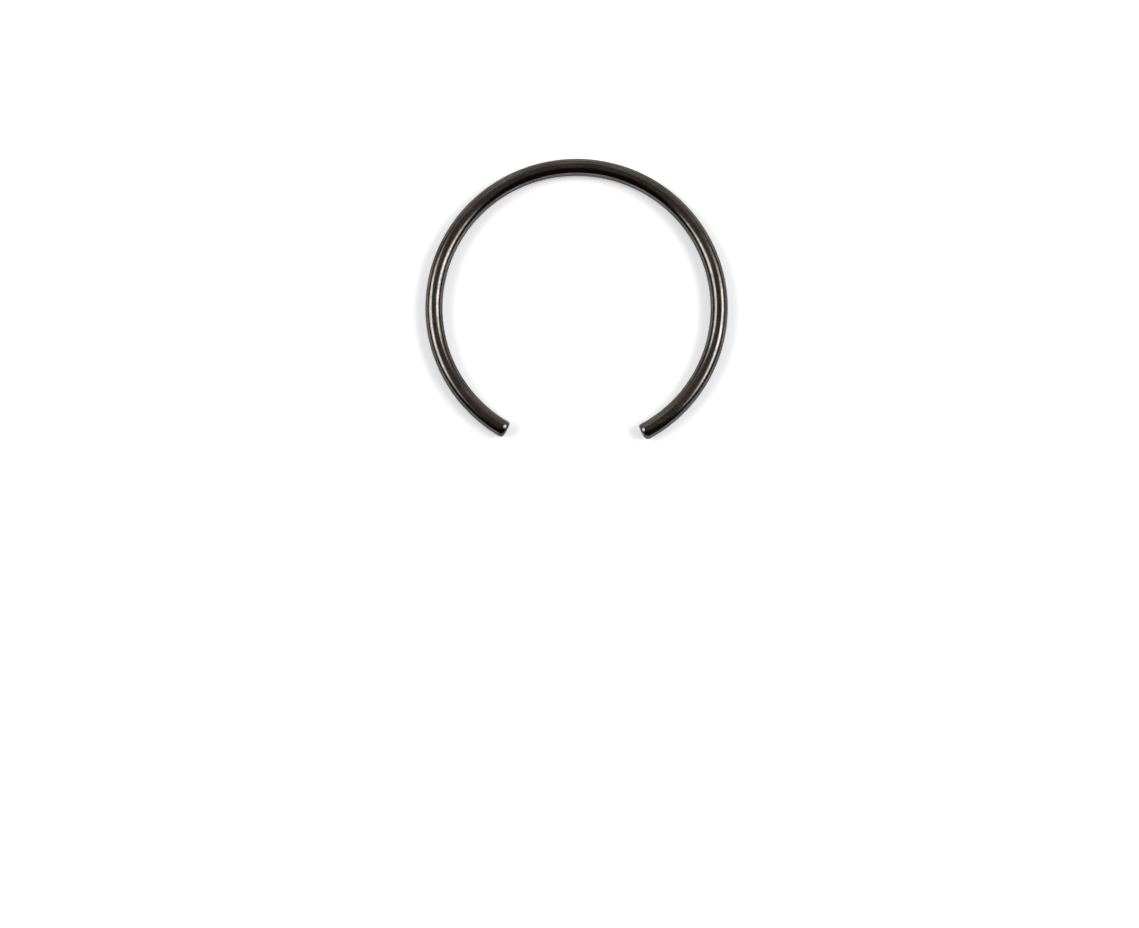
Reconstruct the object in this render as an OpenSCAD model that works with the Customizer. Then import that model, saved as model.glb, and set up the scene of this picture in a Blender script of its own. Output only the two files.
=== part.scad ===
// Retaining ring of round spring wire, which snaps into a groove inside a bore.
// It is one length of wire, bent to an open circle and cut square at both ends.
// The ring's axis is +Z, the middle of the wire lies in z = 0, and the gap faces -Y.

/* [Bore and groove] */
// Diameter of the bore that the ring is made for
bore_d = 22; // [12:0.5:40]
// How much wider the ring is when it is free than when it sits in the groove
spring_allowance = 1.2; // [0.2:0.1:3]

/* [Wire] */
// Diameter of the round wire
wire_d = 1.4; // [0.8:0.1:2]
// How far tumbling has rounded the rim of each cut end, in from the wire's surface
rim_round = 0.25; // [0.05:0.05:0.35]

/* [Gap] */
// Angle between the two cut ends, as seen from the ring's axis
gap_angle = 56.5; // [20:0.5:120]

/* [Hidden] */
$fn = 96;
wire_r = wire_d / 2;
// In the groove the wire's centre line runs along the bore wall:
// half of the wire is sunk, and the other half stands proud and stops the pin
seated_r = bore_d / 2;
free_r = seated_r + spring_allowance / 2;
// The flat that is left in the middle of each cut
flat_r = wire_r - rim_round;
// Tumbling breaks the rim without blending it into the wire: at this angle the two meet
rim_meet = 15;
rim_r = rim_round / cos(rim_meet);
cut_angle = gap_angle / 2 - 90;
// The wire is bent too long by its own radius at each end, and that much comes off
waste_angle = atan(wire_r / free_r);

// The wire's round section, turned about the ring's axis
module bent_wire() {
    rotate([0, 0, cut_angle - waste_angle])
        rotate_extrude(angle = 360 - gap_angle + 2 * waste_angle)
            translate([free_r, 0])
                circle(r = wire_r);
}

// What a cut takes off the wire below it: all past z = 0, and the rim outside its round
module cut_off() {
    rotate_extrude()
        difference() {
            translate([0, -rim_r])
                square([wire_d, rim_r + wire_d]);
            translate([0, -rim_r])
                square([flat_r, rim_r]);
            intersection() {
                translate([flat_r, -rim_r])
                    circle(r = rim_r);
                translate([0, -rim_r])
                    square([wire_d, rim_r]);
            }
        }
}

module retaining_ring() {
    color("#2c2a28")
        difference() {
            bent_wire();
            for (side = [0, 1])
                mirror([side, 0, 0])
                    rotate([0, 0, cut_angle])
                        translate([free_r, 0, 0])
                            rotate([90, 0, 0])
                                cut_off();
        }
}

retaining_ring();
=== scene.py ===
# A retaining ring of round spring wire, lying on white paper between two soft lamps.
# Lengths are in metres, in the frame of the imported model: the ring's axis is +Z,
# the middle of the wire lies in z = 0, and the gap between the cut ends faces -Y.
import math

import bpy
from mathutils import Matrix, Vector


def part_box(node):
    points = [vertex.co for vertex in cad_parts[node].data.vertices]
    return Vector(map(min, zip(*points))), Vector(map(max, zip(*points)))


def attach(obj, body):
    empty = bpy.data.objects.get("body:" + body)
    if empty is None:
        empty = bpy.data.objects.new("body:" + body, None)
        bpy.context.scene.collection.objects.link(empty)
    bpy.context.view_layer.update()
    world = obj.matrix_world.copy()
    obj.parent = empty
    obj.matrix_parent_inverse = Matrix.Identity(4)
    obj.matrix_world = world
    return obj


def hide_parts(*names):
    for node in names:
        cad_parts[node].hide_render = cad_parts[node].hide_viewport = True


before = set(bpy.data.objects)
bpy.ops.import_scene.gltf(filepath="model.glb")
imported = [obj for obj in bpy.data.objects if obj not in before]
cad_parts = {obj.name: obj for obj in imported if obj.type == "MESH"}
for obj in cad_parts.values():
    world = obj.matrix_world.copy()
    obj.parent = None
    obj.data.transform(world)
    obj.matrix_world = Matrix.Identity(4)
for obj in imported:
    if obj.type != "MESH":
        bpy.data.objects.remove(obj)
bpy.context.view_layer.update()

MM = 0.001

# Sizes of the ring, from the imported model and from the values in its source
ring_low, ring_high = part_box("retaining_ring")
WIRE_R = min(ring_high[2], -ring_low[2])
CENTRE_R = min(ring_high[0], ring_high[1]) - WIRE_R
FLOOR_Z = ring_low[2]
GAP_ANGLE = math.radians(56.5)
RIM_ROUND = 0.25 * MM

# How finely the wire's surface is divided
STEPS_ALONG = 720
STEPS_AROUND = 64
STEPS_RIM = 14
STEPS_FACE = 6

# Tumbling leaves the rims a little uneven, less round on the ring's inner side,
# and the cut faces a little domed. The unevenness is a wave with two high places and one
# with three, and the phases say where on the rim they lie.
RIM_UNEVEN = 0.10
TWO_HIGH_PHASE = 1.26
THREE_HIGH_PHASE = 1.1
RIM_SHARP_INSIDE = 0.30
FACE_DOME = 0.02 * MM
# The shear rolled each rim over where it came in, at this angle of the section:
# there the rim runs on at one tilt before it turns down to the cut
ROLLED_AT = math.radians(92)
ROLLED_TILT = math.radians(22)
# The +X end differs from the other: its outer corner is worn rounder, and its rim is
# sharper on a stretch at this angle of the section
WORN_CORNER = 0.20
SHARP_STRETCH = 0.24
SHARP_AT = math.radians(115)
# From this far behind a cut, the wire is plain
PLAIN_FROM = 0.7 * MM

# Most of a noise's values lie between the first two, and nearly all between the others
NOISE_LOW = 0.35
NOISE_HIGH = 0.65
NOISE_LOWEST = 0.3
NOISE_HIGHEST = 0.7
# At a glancing angle blackened steel stays dimmer than bare steel does
STEEL_EDGE = "#a8a8a8"

# The camera looks down on the ring, leaning a little from the vertical towards the gap
CAMERA_LEAN = math.radians(7.25)
CAMERA_DISTANCE = 283.6 * MM
CAMERA_LENS = 110.6
CAMERA_NEAR = 1 * MM
CAMERA_FAR = 50
SENSOR_WIDTH = 36
LOOK_AT = Vector((-0.573 * MM, -12.755 * MM, FLOOR_Z))
# The ring lies turned a little clockwise in the picture, so camera and lamps turn the other way
VIEW_TURN = math.radians(1.05)

# Two oval softboxes, to the left and right of the ring, seen from it at these angles.
# Each is turned a little away from the gap about the ring's axis, with its near end rolled
# towards the top, and is brightest in its middle, up to the core's share of its size.
LAMP_DISTANCE = 3.0
LAMP_TILT = math.radians(47)
LAMP_AHEAD_RIGHT = math.radians(2.5)
LAMP_AHEAD_LEFT = math.radians(4.5)
LAMP_ROLL = math.radians(5)
LAMP_HALF_WIDTH = math.radians(20)
LAMP_HALF_LENGTH = math.radians(29)
LAMP_CORE = 0.3
LAMP_RADIANCE_RIGHT = 8.05
LAMP_RADIANCE_LEFT = 6.72
LAMP_TINT = "#fafcff"

# The room around the paper, as the wire mirrors it: dim overhead, dark behind the camera
# and low at the sides, with a pale wall beyond the ring
ROOM_BEHIND = "#292624"
ROOM_ABOVE = "#888179"
ROOM_WALL = "#c0bdb9"

FLOOR_RADIUS = 6.0
FLOOR_SIDES = 96
FLOOR_PAPER = "#f3f3f4"
FLOOR_LIFT = 0.3


def linear(colour):
    """An sRGB hex colour as linear red, green, blue and alpha, by the standard formula."""
    parts = [int(colour[i : i + 2], 16) / 255 for i in (1, 3, 5)]
    return [p / 12.92 if p <= 0.04045 else ((p + 0.055) / 1.055) ** 2.4 for p in parts] + [1]


def add_node(tree, kind, inputs=None, **settings):
    """Adds a node to a tree with its settings, and links or fills its inputs."""
    new = tree.nodes.new(kind)
    for setting, value in settings.items():
        setattr(new, setting, value)
    for socket, value in (inputs or {}).items():
        if isinstance(value, bpy.types.NodeSocket):
            tree.links.new(value, new.inputs[socket])
        else:
            new.inputs[socket].default_value = value
    return new


def new_material(name):
    """An empty material, and its node tree."""
    material = bpy.data.materials.new(name)
    material.use_nodes = True
    material.node_tree.nodes.clear()
    return material, material.node_tree


def add_object(name, vertices, faces, material):
    """A smooth mesh object made from its points and faces."""
    mesh = bpy.data.meshes.new(name)
    mesh.from_pydata(vertices, [], faces)
    mesh.validate()
    mesh.polygons.foreach_set("use_smooth", [True] * len(mesh.polygons))
    mesh.materials.append(material)
    piece = bpy.data.objects.new(name, mesh)
    bpy.context.scene.collection.objects.link(piece)
    return piece


# Oil-tempered spring steel, drawn through a die and left with its thin black oxide.
# The eye sees a dark, faintly warm, half-glossy wire: lamps make two crisp stripes along
# it, fine drawing lines run with it, and the oxide is slightly patchy and speckled.
def spring_wire_material():
    material, tree = new_material("oil_tempered_spring_steel")

    # The wire as if it were straight again: across, up and along, so that marks follow it
    place = add_node(tree, "ShaderNodeTexCoord")
    split = add_node(tree, "ShaderNodeSeparateXYZ", {0: place.outputs["Object"]})
    flat = add_node(tree, "ShaderNodeCombineXYZ", {"X": split.outputs["X"], "Y": split.outputs["Y"]})
    reach = add_node(tree, "ShaderNodeVectorMath", {0: flat.outputs[0]}, operation="LENGTH")
    across = add_node(
        tree, "ShaderNodeMath", {0: reach.outputs["Value"], 1: CENTRE_R}, operation="SUBTRACT"
    )
    angle = add_node(
        tree, "ShaderNodeMath", {0: split.outputs["X"], 1: split.outputs["Y"]}, operation="ARCTAN2"
    )
    along = add_node(tree, "ShaderNodeMath", {0: angle.outputs[0], 1: CENTRE_R}, operation="MULTIPLY")
    straight = add_node(
        tree,
        "ShaderNodeCombineXYZ",
        {"X": across.outputs[0], "Y": split.outputs["Z"], "Z": along.outputs[0]},
    )

    # Drawing lines: each about 0.09 mm wide, drawn coarser than real to show, and long
    line_width = 0.09 * MM
    line_stretch = 1 / 50
    drawn = add_node(
        tree,
        "ShaderNodeVectorMath",
        {0: straight.outputs[0], 1: (1, 1, line_stretch)},
        operation="MULTIPLY",
    )
    lines = add_node(
        tree,
        "ShaderNodeTexNoise",
        {"Vector": drawn.outputs[0], "Scale": 1 / line_width, "Detail": 2, "Roughness": 0.5},
    )

    # Speckle of the oxide, about 0.11 mm across the wire and 0.25 mm along it
    speckle_size = 0.11 * MM
    speckle_stretch = 0.45
    dragged = add_node(
        tree,
        "ShaderNodeVectorMath",
        {0: straight.outputs[0], 1: (1, 1, speckle_stretch)},
        operation="MULTIPLY",
    )
    speckle = add_node(
        tree,
        "ShaderNodeTexNoise",
        {"Vector": dragged.outputs[0], "Scale": 1 / speckle_size, "Detail": 3, "Roughness": 0.6},
    )

    # Patches of thicker and thinner oxide, 1 to 3 mm long and lying along the wire
    patch_size = 0.9 * MM
    patch_stretch = 0.45
    smeared = add_node(
        tree,
        "ShaderNodeVectorMath",
        {0: straight.outputs[0], 1: (1, 1, patch_stretch)},
        operation="MULTIPLY",
    )
    patches = add_node(
        tree,
        "ShaderNodeTexNoise",
        {"Vector": smeared.outputs[0], "Scale": 1 / patch_size, "Detail": 3, "Roughness": 0.55},
    )

    # Their tint wanders from brown to grey on its own, by another channel of the same noise
    oxide_brown = linear("#68625d")
    oxide_grey = linear("#656260")
    channels = add_node(tree, "ShaderNodeSeparateColor", {0: patches.outputs["Color"]})
    greyness = add_node(
        tree,
        "ShaderNodeMapRange",
        {"Value": channels.outputs["Green"], "From Min": NOISE_LOW, "From Max": NOISE_HIGH},
    )
    oxide = add_node(
        tree,
        "ShaderNodeMix",
        {"Factor": greyness.outputs[0], "A": oxide_brown, "B": oxide_grey},
        data_type="RGBA",
    )

    # What the tint is multiplied by where the oxide is thickest, and in dark and light marks
    thick_tone = 0.7
    mark_dark = 0.65
    mark_light = 1.35
    thickness = add_node(
        tree,
        "ShaderNodeMapRange",
        {
            "Value": patches.outputs["Fac"],
            "From Min": NOISE_LOW,
            "From Max": NOISE_HIGH,
            "To Min": 1,
            "To Max": thick_tone,
        },
    )
    specks = add_node(
        tree,
        "ShaderNodeMapRange",
        {
            "Value": speckle.outputs["Fac"],
            "From Min": NOISE_LOWEST,
            "From Max": NOISE_HIGHEST,
            "To Min": mark_dark,
            "To Max": mark_light,
        },
    )
    streaks = add_node(
        tree,
        "ShaderNodeMapRange",
        {
            "Value": lines.outputs["Fac"],
            "From Min": NOISE_LOWEST,
            "From Max": NOISE_HIGHEST,
            "To Min": mark_dark,
            "To Max": mark_light,
        },
    )
    marks = add_node(
        tree, "ShaderNodeMath", {0: specks.outputs[0], 1: streaks.outputs[0]}, operation="MULTIPLY"
    )
    tone = add_node(
        tree, "ShaderNodeMath", {0: marks.outputs[0], 1: thickness.outputs[0]}, operation="MULTIPLY"
    )
    colour = add_node(
        tree,
        "ShaderNodeVectorMath",
        {0: oxide.outputs["Result"], 1: tone.outputs[0]},
        operation="MULTIPLY",
    )

    # The drawing lines also differ in gloss, and lines and speckle stand in a slight relief
    glossy = 0.13
    dull = 0.22
    line_depth = 0.002 * MM
    speckle_depth = 0.0005 * MM
    gloss = add_node(
        tree,
        "ShaderNodeMapRange",
        {
            "Value": lines.outputs["Fac"],
            "From Min": NOISE_LOWEST,
            "From Max": NOISE_HIGHEST,
            "To Min": glossy,
            "To Max": dull,
        },
    )
    line_bump = add_node(
        tree,
        "ShaderNodeBump",
        {"Height": lines.outputs["Fac"], "Distance": line_depth, "Strength": 1},
    )
    speckle_bump = add_node(
        tree,
        "ShaderNodeBump",
        {
            "Height": speckle.outputs["Fac"],
            "Distance": speckle_depth,
            "Strength": 1,
            "Normal": line_bump.outputs[0],
        },
    )
    surface = add_node(
        tree,
        "ShaderNodeBsdfPrincipled",
        {
            "Base Color": colour.outputs[0],
            "Metallic": 1,
            "Roughness": gloss.outputs[0],
            "Specular Tint": linear(STEEL_EDGE),
            "Normal": speckle_bump.outputs[0],
        },
    )
    add_node(tree, "ShaderNodeOutputMaterial", {"Surface": surface.outputs[0]})
    return material


# The sheared ends: cut steel, tumbled and blackened with the rest, so darker and rougher.
# The eye sees fine streaks the way the blade went, downwards, smoother near the top where
# it came in and torn to a grain below.
def sheared_end_material():
    material, tree = new_material("sheared_spring_steel_end")
    place = add_node(tree, "ShaderNodeTexCoord")
    split = add_node(tree, "ShaderNodeSeparateXYZ", {0: place.outputs["Object"]})

    # Blade streaks: about 0.07 mm apart, drawn coarser than real to show
    streak_width = 0.07 * MM
    streak_stretch = 1 / 8
    dragged = add_node(
        tree,
        "ShaderNodeVectorMath",
        {0: place.outputs["Object"], 1: (1, 1, streak_stretch)},
        operation="MULTIPLY",
    )
    streaks = add_node(
        tree,
        "ShaderNodeTexNoise",
        {"Vector": dragged.outputs[0], "Scale": 1 / streak_width, "Detail": 2, "Roughness": 0.5},
    )

    # Grain of the torn steel, about 0.08 mm
    grain_size = 0.08 * MM
    grain = add_node(
        tree,
        "ShaderNodeTexNoise",
        {"Vector": place.outputs["Object"], "Scale": 1 / grain_size, "Detail": 3, "Roughness": 0.6},
    )

    # How torn the steel is: not at all near the top of the cut, and fully from just below
    # its middle
    whole_above = 0.35 * WIRE_R
    torn_below = -0.15 * WIRE_R
    torn = add_node(
        tree,
        "ShaderNodeMapRange",
        {"Value": split.outputs["Z"], "From Min": whole_above, "From Max": torn_below},
        interpolation_type="SMOOTHSTEP",
    )
    relief = add_node(
        tree,
        "ShaderNodeMix",
        {"Factor": torn.outputs[0], "A": streaks.outputs["Fac"], "B": grain.outputs["Fac"]},
        data_type="FLOAT",
    )

    # Hollows keep their black, and what stands out is rubbed lighter
    hollow_tone = linear("#363330")
    rubbed_tone = linear("#55514d")
    whole_roughness = 0.32
    torn_roughness = 0.5
    mark_depth = 0.008 * MM
    rubbed = add_node(
        tree,
        "ShaderNodeMapRange",
        {"Value": relief.outputs["Result"], "From Min": NOISE_LOW, "From Max": NOISE_HIGH},
    )
    tone = add_node(
        tree,
        "ShaderNodeMix",
        {"Factor": rubbed.outputs[0], "A": hollow_tone, "B": rubbed_tone},
        data_type="RGBA",
    )
    roughness = add_node(
        tree,
        "ShaderNodeMapRange",
        {"Value": torn.outputs[0], "To Min": whole_roughness, "To Max": torn_roughness},
    )
    bump = add_node(
        tree,
        "ShaderNodeBump",
        {"Height": relief.outputs["Result"], "Distance": mark_depth, "Strength": 1},
    )
    surface = add_node(
        tree,
        "ShaderNodeBsdfPrincipled",
        {
            "Base Color": tone.outputs["Result"],
            "Metallic": 1,
            "Roughness": roughness.outputs[0],
            "Specular Tint": linear(STEEL_EDGE),
            "Normal": bump.outputs[0],
        },
    )
    add_node(tree, "ShaderNodeOutputMaterial", {"Surface": surface.outputs[0]})
    return material


# White paper without gloss. What the camera and the wire see of it is lifted a little
# towards white, and the ring's shadow stays on it.
def paper_material():
    material, tree = new_material("white_paper")
    sight = add_node(tree, "ShaderNodeLightPath")
    seen = add_node(
        tree,
        "ShaderNodeMath",
        {0: sight.outputs["Is Camera Ray"], 1: sight.outputs["Is Glossy Ray"]},
        operation="MAXIMUM",
    )
    seen_or_through = add_node(
        tree,
        "ShaderNodeMath",
        {0: seen.outputs[0], 1: sight.outputs["Is Transmission Ray"]},
        operation="MAXIMUM",
    )
    lift = add_node(
        tree, "ShaderNodeMath", {0: seen_or_through.outputs[0], 1: FLOOR_LIFT}, operation="MULTIPLY"
    )
    paper = add_node(tree, "ShaderNodeBsdfDiffuse", {"Color": linear(FLOOR_PAPER)})
    glow = add_node(
        tree, "ShaderNodeEmission", {"Color": linear("#ffffff"), "Strength": lift.outputs[0]}
    )
    both = add_node(tree, "ShaderNodeAddShader", {0: paper.outputs[0], 1: glow.outputs[0]})
    add_node(tree, "ShaderNodeOutputMaterial", {"Surface": both.outputs[0]})
    return material


def wire_point(along, around, section_r):
    """A point of the wire, by its angle round the ring and its place in the section."""
    reach = CENTRE_R + section_r * math.cos(around)
    return (reach * math.cos(along), reach * math.sin(along), section_r * math.sin(around))


def rim_depth(end, around):
    """How far a rim's round reaches into the cut. The end is 1 at +X and -1 at -X."""
    two_high = math.sin(2 * around + TWO_HIGH_PHASE)
    three_high = math.sin(3 * around + THREE_HIGH_PHASE)
    uneven = RIM_UNEVEN * (two_high + end * three_high)
    inside = RIM_SHARP_INSIDE * max(0, -math.cos(around)) ** 2
    worn = WORN_CORNER * max(0, math.cos(around)) ** 2
    sharp = SHARP_STRETCH * max(0, math.cos(around - SHARP_AT)) ** 4
    own = worn - sharp if end > 0 else 0
    return RIM_ROUND * (1 + uneven - inside + own)


def rim_profile(end, around):
    """A rim from the wire to the cut: each point's distance from the cut, and its depth."""
    rolled = max(0, math.cos(around - ROLLED_AT)) ** 2
    # A rolled rim's tilt is a cubic of the way along it, which rests at ROLLED_TILT
    rest = 1 / (1 + (math.pi / 2 / ROLLED_TILT - 1) ** (1 / 3))
    steps = [(0, 0)]
    for step in range(STEPS_RIM):
        part = (step + 0.5) / STEPS_RIM
        plain_tilt = math.pi / 2 * part
        rolled_tilt = ROLLED_TILT * (1 + ((part - rest) / rest) ** 3)
        tilt = plain_tilt + rolled * (rolled_tilt - plain_tilt)
        steps.append((steps[-1][0] + math.cos(tilt), steps[-1][1] + math.sin(tilt)))
    whole_length, whole_depth = steps[-1]
    scale = rim_depth(end, around) / whole_depth
    return [((whole_length - length) * scale, depth * scale) for length, depth in steps]


def end_sections(end, cut, turn):
    """The sections of one end in order, from the middle of its cut to the plain wire."""
    rims = [rim_profile(end, a) for a in turn]
    sections = []
    for step in range(1, STEPS_FACE + 1):
        part = step / STEPS_FACE
        back = FACE_DOME * part * part / CENTRE_R
        section = []
        for a, rim in zip(turn, rims):
            flat_r = WIRE_R - rim[-1][1]
            section.append(wire_point(cut + end * back, a, part * flat_r))
        sections.append(section)
    for step in reversed(range(STEPS_RIM)):
        section = []
        for a, rim in zip(turn, rims):
            length, depth = rim[step]
            back = (FACE_DOME + length) / CENTRE_R
            section.append(wire_point(cut + end * back, a, WIRE_R - depth))
        sections.append(section)
    return sections


def ring_sections():
    """The wire's sections in order, each a ring of points, and the middles of both cuts."""
    turn = [2 * math.pi * i / STEPS_AROUND for i in range(STEPS_AROUND)]
    # The +X end comes first: angles grow anticlockwise from it to the -X end
    first = GAP_ANGLE / 2 - math.pi / 2
    last = 3 * math.pi / 2 - GAP_ANGLE / 2
    start = first + PLAIN_FROM / CENTRE_R
    stop = last - PLAIN_FROM / CENTRE_R
    body = [
        [wire_point(start + (stop - start) * step / STEPS_ALONG, a, WIRE_R) for a in turn]
        for step in range(STEPS_ALONG + 1)
    ]
    sections = end_sections(1, first, turn) + body + end_sections(-1, last, turn)[::-1]
    return sections, wire_point(first, 0, 0), wire_point(last, 0, 0)


def build_ring(material, end_material):
    """The ring's surface: its sections joined into a skin, and closed at both ends."""
    sections, first_middle, last_middle = ring_sections()
    vertices = [point for section in sections for point in section]
    faces = []
    for row in range(len(sections) - 1):
        for i in range(STEPS_AROUND):
            j = (i + 1) % STEPS_AROUND
            a = row * STEPS_AROUND + i
            b = row * STEPS_AROUND + j
            faces.append((a, a + STEPS_AROUND, b + STEPS_AROUND, b))
    first_index = len(vertices)
    last_index = first_index + 1
    vertices += [first_middle, last_middle]
    last_row = (len(sections) - 1) * STEPS_AROUND
    for i in range(STEPS_AROUND):
        j = (i + 1) % STEPS_AROUND
        faces.append((first_index, i, j))
        faces.append((last_index, last_row + j, last_row + i))
    piece = add_object("spring_wire_ring", vertices, faces, material)
    piece.data.materials.append(end_material)
    # The flats of the two cuts are the first and last rows, and the fans in their middles
    flat_rows = STEPS_FACE - 1
    rows = len(sections) - 1
    for number, face in enumerate(piece.data.polygons):
        row = number // STEPS_AROUND
        if row < flat_rows or row >= rows - flat_rows:
            face.material_index = 1
    return piece


def build_floor(material):
    """A wide round sheet of paper under the ring."""
    rim = [2 * math.pi * i / FLOOR_SIDES for i in range(FLOOR_SIDES)]
    vertices = [(FLOOR_RADIUS * math.cos(a), FLOOR_RADIUS * math.sin(a), FLOOR_Z) for a in rim]
    floor = add_object("paper_floor", vertices, [tuple(range(FLOOR_SIDES))], material)


def place_camera():
    """The camera, above the ring and turned a little about the ring's axis."""
    camera = bpy.data.cameras.new("camera")
    camera.sensor_fit = "HORIZONTAL"
    camera.sensor_width = SENSOR_WIDTH
    camera.lens = CAMERA_LENS
    camera.clip_start = CAMERA_NEAR
    camera.clip_end = CAMERA_FAR
    stand = bpy.data.objects.new("camera", camera)
    back = Vector((0, -math.sin(CAMERA_LEAN), math.cos(CAMERA_LEAN)))
    stand.location = Matrix.Rotation(VIEW_TURN, 3, "Z") @ (LOOK_AT + back * CAMERA_DISTANCE)
    stand.rotation_euler = (CAMERA_LEAN, 0, VIEW_TURN)
    bpy.context.scene.collection.objects.link(stand)
    bpy.context.scene.camera = stand


def shade_softbox(lamp):
    """Makes a softbox fall off from its bright middle to its rim, as its front cloth does."""
    lamp.use_nodes = True
    tree = lamp.node_tree
    tree.nodes.clear()
    # A lamp measures its own front from 0 to 1, so its middle and its rim are at a half
    half = 0.5
    place = add_node(tree, "ShaderNodeNewGeometry")
    offset = add_node(
        tree,
        "ShaderNodeVectorMath",
        {0: place.outputs["Parametric"], 1: (half, half, 0)},
        operation="SUBTRACT",
    )
    reach = add_node(tree, "ShaderNodeVectorMath", {0: offset.outputs[0]}, operation="LENGTH")
    glow = add_node(
        tree,
        "ShaderNodeMapRange",
        {"Value": reach.outputs["Value"], "From Min": half, "From Max": half * LAMP_CORE},
        interpolation_type="SMOOTHSTEP",
    )
    light = add_node(tree, "ShaderNodeEmission", {"Strength": glow.outputs[0]})
    add_node(tree, "ShaderNodeOutputLight", {"Surface": light.outputs[0]})


def hang_lamp(name, side, ahead, radiance):
    """A softbox on one side, facing the ring: side is 1 for the right and -1 for the left."""
    lamp = bpy.data.lights.new(name, "AREA")
    lamp.shape = "ELLIPSE"
    lamp.size = 2 * LAMP_DISTANCE * math.tan(LAMP_HALF_WIDTH)
    lamp.size_y = 2 * LAMP_DISTANCE * math.tan(LAMP_HALF_LENGTH)
    area = math.pi / 4 * lamp.size * lamp.size_y
    lamp.energy = radiance * math.pi * area
    lamp.color = linear(LAMP_TINT)[:3]
    shade_softbox(lamp)
    stand = bpy.data.objects.new(name, lamp)
    aim = (
        Matrix.Rotation(VIEW_TURN + side * ahead, 4, "Z")
        @ Matrix.Rotation(side * LAMP_TILT, 4, "Y")
        @ Matrix.Rotation(-side * LAMP_ROLL, 4, "Z")
    )
    stand.matrix_world = aim @ Matrix.Translation((0, 0, LAMP_DISTANCE))
    bpy.context.scene.collection.objects.link(stand)


def paint_room():
    """The room's light by direction. The wire mirrors it, so it sets the wire's dark tones."""
    world = bpy.data.worlds.new("studio_room")
    world.use_nodes = True
    tree = world.node_tree
    tree.nodes.clear()
    place = add_node(tree, "ShaderNodeTexCoord")
    split = add_node(tree, "ShaderNodeSeparateXYZ", {0: place.outputs["Generated"]})

    # The dark behind the camera gives way to the dim light overhead. Directions have a
    # length of 1, and -Y is behind the camera.
    behind_to = -0.5
    overhead_from = 0.05
    from_behind = add_node(
        tree,
        "ShaderNodeMapRange",
        {"Value": split.outputs["Y"], "From Min": behind_to, "From Max": overhead_from},
        interpolation_type="SMOOTHSTEP",
    )
    overhead = add_node(
        tree,
        "ShaderNodeMix",
        {"Factor": from_behind.outputs[0], "A": linear(ROOM_BEHIND), "B": linear(ROOM_ABOVE)},
        data_type="RGBA",
    )

    # That light fades out towards the horizon
    dark_below = 0.05
    full_above = 0.4
    height = add_node(
        tree,
        "ShaderNodeMapRange",
        {"Value": split.outputs["Z"], "From Min": dark_below, "From Max": full_above},
        interpolation_type="SMOOTHSTEP",
    )
    dimmed = add_node(
        tree,
        "ShaderNodeVectorMath",
        {0: overhead.outputs["Result"], 1: height.outputs[0]},
        operation="MULTIPLY",
    )

    # The wall stands across the view, whatever the height: its sides are told by the heading
    wall_side = 0.5
    wall_middle = 0.85
    wall_top = 0.89
    wall_full_below = 0.47
    level = add_node(tree, "ShaderNodeCombineXYZ", {"X": split.outputs["X"], "Y": split.outputs["Y"]})
    heading = add_node(tree, "ShaderNodeVectorMath", {0: level.outputs[0]}, operation="NORMALIZE")
    heading_parts = add_node(tree, "ShaderNodeSeparateXYZ", {0: heading.outputs[0]})
    in_front = add_node(
        tree,
        "ShaderNodeMapRange",
        {"Value": heading_parts.outputs["Y"], "From Min": wall_side, "From Max": wall_middle},
        interpolation_type="SMOOTHSTEP",
    )
    below_top = add_node(
        tree,
        "ShaderNodeMapRange",
        {"Value": split.outputs["Z"], "From Min": wall_top, "From Max": wall_full_below},
        interpolation_type="SMOOTHSTEP",
    )
    on_wall = add_node(
        tree, "ShaderNodeMath", {0: in_front.outputs[0], 1: below_top.outputs[0]}, operation="MULTIPLY"
    )
    room = add_node(
        tree,
        "ShaderNodeMix",
        {"Factor": on_wall.outputs[0], "A": dimmed.outputs[0], "B": linear(ROOM_WALL)},
        data_type="RGBA",
        blend_type="ADD",
    )
    light = add_node(tree, "ShaderNodeBackground", {"Color": room.outputs["Result"], "Strength": 1})
    add_node(tree, "ShaderNodeOutputWorld", {"Surface": light.outputs[0]})
    bpy.context.scene.world = world


place_camera()
hang_lamp("softbox_right", 1, LAMP_AHEAD_RIGHT, LAMP_RADIANCE_RIGHT)
hang_lamp("softbox_left", -1, LAMP_AHEAD_LEFT, LAMP_RADIANCE_LEFT)
paint_room()
build_floor(paper_material())
ring = build_ring(spring_wire_material(), sheared_end_material())
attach(ring, "root")
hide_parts("retaining_ring")
bpy.context.scene.view_settings.view_transform = "Standard"

bpy.context.view_layer.update()
